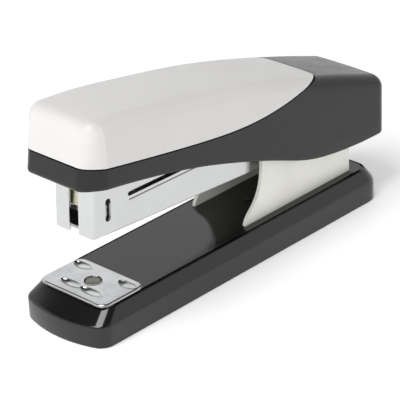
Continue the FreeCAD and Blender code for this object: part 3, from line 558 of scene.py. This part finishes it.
def coverShell():
    ends = divideLevels(aheadPlaces, aheadNormals, 0.0)
    levels, inset = lipLevels(aheadPlaces, aheadNormals, ends)
    none = np.zeros(len(ends))
    outer = ribs(aheadPlaces, aheadNormals, levels, none, ends[:, None], inset)
    inner = ribs(aheadPlaces, aheadNormals, levels, none, ends[:, None], wall)
    band = wallGrid(outer, inner, True)
    tipLevel = ends[0]
    tipEnds = np.full(len(behindPlaces), tipLevel)
    over = overTop(tipEnds, 14, 8, 9)
    lower, inset = lipLevels(behindPlaces, behindNormals, tipEnds)
    capLevels = np.concatenate([over[:, :-1], lower], 1)
    inset = np.concatenate([over[:, :-1] * 0, inset], 1)
    after = np.clip(1 - (behindPlaces[:, 0] - tipX) / 9, 0, 1) ** 2
    shift = cover["tipReach"] * after
    outer = ribs(behindPlaces, behindNormals, capLevels, shift, tipEnds[:, None], inset)
    inner = ribs(behindPlaces, behindNormals, capLevels, shift, tipEnds[:, None], wall)
    section, faces = wallGrid(outer, inner, False)
    columns, half = section.shape[1], capLevels.shape[1] - 1
    edge = np.arange(section.shape[0] - 1)
    low = edge * columns + half
    lip = np.stack([low, low + 1, low + 1 + columns, low + columns], -1)
    count = over.shape[1] - 1
    farRim, nearRim = rims(section, 0, count), rims(section, section.shape[0] - 1, count)
    cap = section, np.concatenate([faces, lip, farRim, nearRim])
    return joined([band, cap])


softEdge = cover["edge"]
points, faces = coverInlay()
newPiece("coverInlay", points, faces, "coverWhite", "handle", "white_plastic", ["cover_inlay"], softEdge)
points, faces = coverShell()
newPiece(
    "coverShell", points, faces, "coverCharcoal", "handle", "charcoal_plastic", ["cover_shell"], softEdge
)
print("cover built")


# base shell: rings of the plan outline at rising heights
baseLow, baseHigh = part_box("base_shell")
base = {
    "front": baseLow.x / mm + 0.39,
    "rear": baseHigh.x / mm,
    "half": baseHigh.y / mm,
    "height": baseHigh.z / mm,
    "bandHeight": 7.5,
    "sideSlope": 2.45,
    "frontSlope": 8.6,
    "rearSlope": 3.5,
    "bow": 45.0,
    "topBow": 300.0,
    "corner": 5.4,
    "rearCorner": 7.0,
    "topCorner": 4.2,
    "wall": 2.0,
}


def baseRing(inset, front, rear, bow, corner, rearCorner):
    # a bowed front, rounded corners and straight sides, with the same number of points each time
    side = base["half"] - inset
    back = math.sqrt((bow - corner) ** 2 - (side - corner) ** 2)
    cx, cy = front + bow - back, side - corner
    turn = math.degrees(math.atan2(cy, back))

    def arc(centreX, centreY, radius, first, last, count):
        t = np.radians(np.linspace(first, last, count, endpoint=False))
        return np.stack([centreX + radius * np.cos(t), centreY + radius * np.sin(t)], -1)

    def run(x0, y0, x1, y1, count):
        t = np.linspace(0, 1, count, endpoint=False)[:, None]
        return np.array([x0, y0]) * (1 - t) + np.array([x1, y1]) * t

    return np.concatenate([
        arc(front + bow, 0, bow, 180 + turn, 180 - turn, 26),
        arc(cx, cy, corner, 180 - turn, 90, 14),
        run(cx, side, rear - rearCorner, side, 40),
        arc(rear - rearCorner, side - rearCorner, rearCorner, 90, 0, 12),
        run(rear, side - rearCorner, rear, rearCorner - side, 12),
        arc(rear - rearCorner, rearCorner - side, rearCorner, 0, -90, 12),
        run(rear - rearCorner, -side, cx, -side, 40),
        arc(cx, -cy, corner, 270, 180 + turn, 14),
    ])


def lowRing(inset):
    front, rear = base["front"] + inset, base["rear"] - inset
    corner, rearCorner = base["corner"] - inset / 2, base["rearCorner"] - inset / 2
    return baseRing(inset, front, rear, base["bow"], corner, rearCorner)


def topRing(inset):
    front = base["front"] + base["frontSlope"] + inset
    rear = base["rear"] - base["rearSlope"] - inset
    corner = max(base["topCorner"] - inset / 2, 2.0)
    return baseRing(base["sideSlope"] + inset, front, rear, base["topBow"], corner, corner + 0.8)


def atHeight(ring, z):
    return np.concatenate([ring, np.full((len(ring), 1), z)], 1)


def rounding(before, corner, after, count):
    # a parabola from before to after that heads for the corner at both ends
    s = np.linspace(0, 1, count)[:, None, None]
    return list((1 - s) ** 2 * before + 2 * s * (1 - s) * corner + s ** 2 * after)


def baseShell():
    high, band = base["height"], base["bandHeight"]
    foot, shoulder, brow = atHeight(lowRing(0), 0.0), atHeight(lowRing(0), band), atHeight(topRing(0), high)
    hollow = base["wall"]

    def sloped(t):
        return shoulder + (brow - shoulder) * t

    rings = [atHeight(topRing(hollow) * [0, 0], high - hollow)]
    rings += [atHeight(topRing(hollow), high - hollow), atHeight(topRing(hollow), 0.0)]
    rings += rounding(atHeight(lowRing(0.45), 0.0), foot, atHeight(lowRing(0), 0.45), 5)
    behind = np.clip((shoulder[:, :1] - 30) / 30, 0, 1)
    rings += rounding(atHeight(lowRing(0), band - 0.55 - behind), shoulder, sloped(0.1 + 0.25 * behind), 6)
    rings += rounding(sloped(0.88), brow, atHeight(topRing(0.3), high - 0.1), 5)
    rings += [atHeight(topRing(0.4), high - 0.55), atHeight(topRing(0.95), high - 0.55)]
    rings += [atHeight(topRing(1.0), high - 0.06), atHeight(topRing(1.15), high)]
    rings += [atHeight(topRing(1.3), high)]
    rings += [atHeight(topRing(5.0), high), atHeight(topRing(0) * [1, 0], high)]
    grid = np.stack(rings)
    return grid, gridFaces(*grid.shape[:2], closeColumns=True)


newPiece("baseShell", *baseShell(), "baseBlack", "base", "black_gloss", ["base_shell"], smoothAngle=40)
print("base shell built")


# anvil: a pressed plate with rolled-over edges, four staple pockets and a countersunk pivot
anvilLow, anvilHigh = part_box("anvil_plate")
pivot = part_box("anvil_stem")
anvil = {
    "front": anvilLow.x / mm,
    "rear": anvilHigh.x / mm,
    "half": anvilHigh.y / mm,
    "low": anvilLow.z / mm,
    "high": anvilHigh.z / mm,
    "corner": 3.6,
    "edge": 0.75,
    "pivotX": (pivot[0].x + pivot[1].x) / 2 / mm,
    "pivotRadius": 3.0,
    "pivotDepth": 0.78,
    "frontPocket": {
        "x": -5.6, "y": 4.6, "halfLength": 4.4, "halfWidth": 1.55, "depth": 0.75, "kidney": 0.0,
    },
    "rearPocket": {
        "x": 5.35, "y": 10.4, "halfLength": 3.7, "halfWidth": 1.7, "depth": 0.75, "kidney": 0.35,
    },
}


def pocketDepth(x, y, pocket, side):
    # a scoop: steep at its outer end, long and shallow towards the other, raised ridge at its rim
    along = (y * side - pocket["y"]) / pocket["halfLength"]
    bow = pocket["kidney"] * (1 - along ** 2)
    across = (x - anvil["pivotX"] - pocket["x"] + bow) / pocket["halfWidth"]
    inside = along ** 2 + across ** 2
    start = 1.0 if side > 0 else -1.0
    slide = np.clip(0.5 + 0.5 * along * start, 0, 1) ** 1.4
    bowl = np.clip(1 - inside, 0, 1) ** 0.55
    rim = np.exp(-((np.sqrt(inside) - 1.08) / 0.12) ** 2) * 0.07
    return pocket["depth"] * bowl * (0.25 + 0.75 * slide) - rim


def anvilTop(x, y):
    # the plate's height: a faint dome, edges rolled down, pockets and the countersink pressed in
    middleX = (anvil["front"] + anvil["rear"]) / 2
    halfX = (anvil["rear"] - anvil["front"]) / 2
    dx = np.abs(x - middleX) - (halfX - anvil["corner"])
    dy = np.abs(y) - (anvil["half"] - anvil["corner"])
    outside = np.hypot(np.clip(dx, 0, None), np.clip(dy, 0, None)) + np.minimum(np.maximum(dx, dy), 0)
    toEdge = np.clip(anvil["corner"] - outside, 0, None)
    roll = np.clip(1 - toEdge / anvil["edge"], 0, 1)
    high = anvil["high"] - anvil["edge"] * 0.8 * (1 - np.sqrt(np.clip(1 - roll ** 2, 0, 1)))
    high = high - 0.06 * ((x - middleX) / halfX) ** 2 - 0.06 * (y / anvil["half"]) ** 2
    for pocket in (anvil["frontPocket"], anvil["rearPocket"]):
        for side in (-1, 1):
            high = high - pocketDepth(x, y, pocket, side)
    r = np.hypot(x - anvil["pivotX"], y)
    dish = np.clip((anvil["pivotRadius"] - r) / 0.35, 0, 1)
    lip = np.exp(-((r - anvil["pivotRadius"] - 0.25) / 0.22) ** 2) * 0.08
    return high - anvil["pivotDepth"] * dish + lip


def anvilPlate():
    # a square grid pressed into the rounded rectangle, its rim carried down and under
    n = 150
    u, v = np.meshgrid(np.linspace(-1, 1, n), np.linspace(-1, 1, n), indexing="ij")
    middleX, halfX = (anvil["front"] + anvil["rear"]) / 2, (anvil["rear"] - anvil["front"]) / 2
    corner = anvil["corner"]
    x, y = u * halfX, v * anvil["half"]
    overX = np.clip(np.abs(x) - (halfX - corner), 0, None) / corner
    overY = np.clip(np.abs(y) - (anvil["half"] - corner), 0, None) / corner
    reach = np.maximum(np.hypot(overX, overY), 1e-9)
    pull = np.maximum(overX, overY) / reach
    both = (overX > 0) & (overY > 0)
    x = np.where(both, np.sign(x) * (halfX - corner + overX * pull * corner), x) + middleX
    y = np.where(both, np.sign(y) * (anvil["half"] - corner + overY * pull * corner), y)
    top = np.stack([x, y, anvilTop(x, y)], -1)
    rim = np.concatenate([top[:-1, 0], top[-1, :-1], top[:0:-1, -1], top[0, :0:-1]])
    middle = np.array([middleX, 0, 0])

    def rimAt(z, inset):
        away = rim - middle
        away[:, 2] = 0
        away = away / np.linalg.norm(away, axis=1, keepdims=True)
        moved = rim - away * inset
        moved[:, 2] = z
        return moved

    under, flange = anvil["low"], -0.22
    lower = [rim, rimAt(under + 0.12, 0.0), rimAt(under + 0.1, flange), rimAt(under, flange)]
    lower += [rimAt(under, 1.0), rimAt(under, 1.0) * [0, 0, 1] + middle]
    skirt = np.stack(lower)
    return joined([(top, gridFaces(n, n)), (skirt, gridFaces(*skirt.shape[:2], closeColumns=True))])


def paintShadeOn(piece):
    # painted shade: a mark that is 1 on the steep end of every pocket and in the ring round the pivot, with
    # weaker painted shade round each pocket's rim and along the plate's lower edge
    mesh = piece.data
    spots = np.empty(len(mesh.vertices) * 3)
    mesh.vertices.foreach_get("co", spots)
    x, y, z = (spots.reshape(-1, 3) / mm).T
    soot = np.zeros(len(x))
    # painted shade on the steep pocket ends and round the pocket rims
    for pocket in (anvil["frontPocket"], anvil["rearPocket"]):
        for side in (-1, 1):
            along = (y * side - pocket["y"]) / pocket["halfLength"]
            bow = pocket["kidney"] * (1 - along ** 2)
            across = (x - anvil["pivotX"] - pocket["x"] + bow) / pocket["halfWidth"]
            inside = np.clip((1.0 - np.hypot(along, across)) / 0.12, 0, 1)
            soot = np.maximum(soot, inside * np.clip((along * side - 0.2) / 0.3, 0, 1) * 0.8)
            ring = np.clip(1 - np.abs(np.hypot(along, across) - 1.0) / 0.09, 0, 1)
            soot = np.maximum(soot, ring * 0.45)
    r = np.hypot(x - anvil["pivotX"], y)
    soot = np.maximum(soot, np.clip((anvil["pivotRadius"] + 0.05 - r) / 0.1, 0, 1))
    soot = np.maximum(soot, np.clip((anvil["low"] + 0.25 - z) / 0.1, 0, 1) * 0.6)
    mark = mesh.attributes.new("soot", "FLOAT", "POINT")
    mark.data.foreach_set("value", soot)


points, faces = anvilPlate()
plate = newPiece(
    "anvilPlate", points, faces, "anvilNickel", "anvil", "nickel", ["anvil_plate"], smoothAngle=50
)
# painted shade marked on the pockets, the pivot ring and the lower edge
paintShadeOn(plate)
print("anvil built")


# finer copies of the steel and moulded parts: merged, flattened faces, softened edges
fineCopies = {
    # node: (finish, body, slot, edge width)
    "magazine_case": ("caseChrome", "magazine", "chrome", 0.22),
    "guide_channel": ("rolledSteel", "magazine", "plate_steel", 0.12),
    "staple_rail": ("rolledSteel", "magazine", "plate_steel", 0.12),
    "rear_block": ("innerBlack", "magazine", "dark_plastic", 0.25),
    "staple_pusher": ("innerBlack", "pusher", "dark_plastic", 0.15),
    "riser_bracket": ("bracketIvory", "base", "ivory_paint", 0.2),
    "handle_channel": ("rolledSteel", "handle", "plate_steel", 0.18),
    "driver_blade": ("zincYellow", "handle", "spring_steel", 0.06),
    "driver_holder": ("zincYellow", "handle", "plate_steel", 0.15),
    "seat_plate": ("rolledSteel", "base", "plate_steel", 0.15),
    "base_sole": ("soleRubber", "base", "sole_rubber", 0.3),
    "anvil_stem": ("stemSteel", "anvil_lifter", "stem_steel", 0.12),
    "hinge_pin": ("rolledSteel", "base", "rivet_steel", 0.15),
    "bracket_rivets": ("baseBlack", "base", "rivet_steel", 0.08),
    "driver_rivets": ("rolledSteel", "handle", "rivet_steel", 0.08),
    "cover_screws": ("rolledSteel", "handle", "rivet_steel", 0.12),
}


def fineCopy(node, finish, body, width):
    # the CAD mesh with doubles merged and flat faces joined, then its edges softened
    words = node.split("_")
    name = words[0] + "".join(w.capitalize() for w in words[1:])
    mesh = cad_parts[node].data.copy()
    mesh.name = name
    piece = bpy.data.objects.new(name, mesh)
    bpy.context.collection.objects.link(piece)
    work = bmesh.new()
    work.from_mesh(mesh)
    bmesh.ops.remove_doubles(work, verts=work.verts, dist=1e-6)
    bmesh.ops.dissolve_degenerate(work, edges=work.edges, dist=1e-6)
    bmesh.ops.dissolve_limit(work, angle_limit=math.radians(0.6), verts=work.verts, edges=work.edges)
    work.to_mesh(mesh)
    work.free()
    return settle(piece, finish, body, [node], width, 32.0)


for node, (finish, body, slot, width) in fineCopies.items():
    fineCopy(node, finish, body, width)
print("fine copies made:", len(fineCopies))

springs = {
    # node: body, joint that presses it, the way it shortens, its still end and the share left
    "lift_spring": ("base", "magazine_close", (0, 0, 1), "low", 0.45),
    "anvil_spring": ("base", "anvil_lift", (0, 0, 1), "high", 0.34),
    "pusher_spring": ("magazine", "pusher_slide", (0.9981, 0, -0.06157), "high", 0.15),
}
for node, (body, joint, axis, still, keep) in springs.items():
    low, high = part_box(node)
    spring = fineCopy(node, "springSteel", body, 0)
    end = low.copy() if still == "low" else high.copy()
    if node == "pusher_spring":
        # its still end is at the rear, where the tilted coil is lowest
        end.z = low.z + (high.z - low.z) * 0.3
    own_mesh(spring)

keptFinishes = {
    "pusher_rod": "rolledSteel",
    "handle_spring": "springSteel",
    "staple_strip": "stapleWire",
}
for node, finish in keptFinishes.items():
    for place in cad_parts[node].material_slots:
        place.material = finishes[finish]


# stage: floor, soft light and camera
def paleFloor():
    net = Net("paleFloor")
    cloud = net.noise(30, 4)
    tone = net.mix(cloud, (0.95, 0.95, 0.95), (0.93, 0.93, 0.93))
    reach = 3.0
    mesh = bpy.data.meshes.new("floor")
    corners = [(-reach, -reach, 0), (reach, -reach, 0), (reach, reach, 0), (-reach, reach, 0)]
    mesh.from_pydata(corners, [], [(0, 1, 2, 3)])
    glow = {"Emission Color": (1, 1, 1), "Emission Strength": 0.3}
    mesh.materials.append(net.finish({"Base Color": tone, "Roughness": 0.6, **glow}))
    floor = bpy.data.objects.new("floor", mesh)
    bpy.context.collection.objects.link(floor)


def studioWorld(low, high):
    # bright walls all round and a darker ceiling
    world = bpy.data.worlds.new("studio")
    bpy.context.scene.world = world
    world.use_nodes = True
    tree = world.node_tree
    coords = tree.nodes.new("ShaderNodeTexCoord")
    parts = tree.nodes.new("ShaderNodeSeparateXYZ")
    ramp = tree.nodes.new("ShaderNodeMapRange")
    ramp.interpolation_type = "SMOOTHSTEP"
    tree.links.new(coords.outputs["Generated"], parts.inputs[0])
    tree.links.new(parts.outputs["Z"], ramp.inputs["Value"])
    ramp.inputs["From Min"].default_value = 0.50
    ramp.inputs["From Max"].default_value = 0.72
    ramp.inputs["To Min"].default_value = low
    ramp.inputs["To Max"].default_value = high
    tree.links.new(ramp.outputs["Result"], tree.nodes["Background"].inputs["Strength"])
    tree.nodes["Background"].inputs["Color"].default_value = (1, 1, 1, 1)


def softbox(name, place, target, size, power, mirrored=True):
    lamp = bpy.data.lights.new(name, "AREA")
    lamp.shape = "RECTANGLE"
    lamp.size, lamp.size_y = size
    lamp.energy = power
    holder = bpy.data.objects.new(name, lamp)
    holder.location = place
    holder.rotation_euler = (Vector(target) - Vector(place)).to_track_quat("-Z", "Y").to_euler()
    holder.visible_glossy = mirrored
    bpy.context.collection.objects.link(holder)


paleFloor()
studioWorld(0.88, 0.12)
softbox("keyLight", (-0.5, 0.02, 0.98), (0, 0, 0.03), (0.55, 0.55), 6.5)
softbox("frontLight", (-1.0, -0.3, 0.55), (-0.03, 0, 0.03), (0.35, 0.5), 1.8, False)

shot = {
    "azimuth": -45.44,
    "elevation": 27.12,
    "roll": 2.76,
    "lens": 200.93,
    "place": (-0.48312, -0.47044, 0.36521),
}


def makeCamera():
    a, e, r = (math.radians(shot[k]) for k in ("azimuth", "elevation", "roll"))
    back = Vector((math.sin(a) * math.cos(e), -math.cos(a) * math.cos(e), math.sin(e)))
    right = Vector((math.cos(a), math.sin(a), 0))
    up = back.cross(right)
    rolledRight = math.cos(r) * right - math.sin(r) * up
    rolledUp = math.sin(r) * right + math.cos(r) * up
    camera = bpy.data.objects.new("camera", bpy.data.cameras.new("camera"))
    camera.data.lens = shot["lens"]
    camera.data.sensor_width = 36
    camera.data.clip_start = 0.01
    turned = Matrix((rolledRight, rolledUp, back)).transposed().to_4x4()
    camera.matrix_world = Matrix.Translation(shot["place"]) @ turned
    bpy.context.collection.objects.link(camera)
    bpy.context.scene.camera = camera


makeCamera()
bpy.context.scene.view_settings.view_transform = "Standard"
print("stage set")
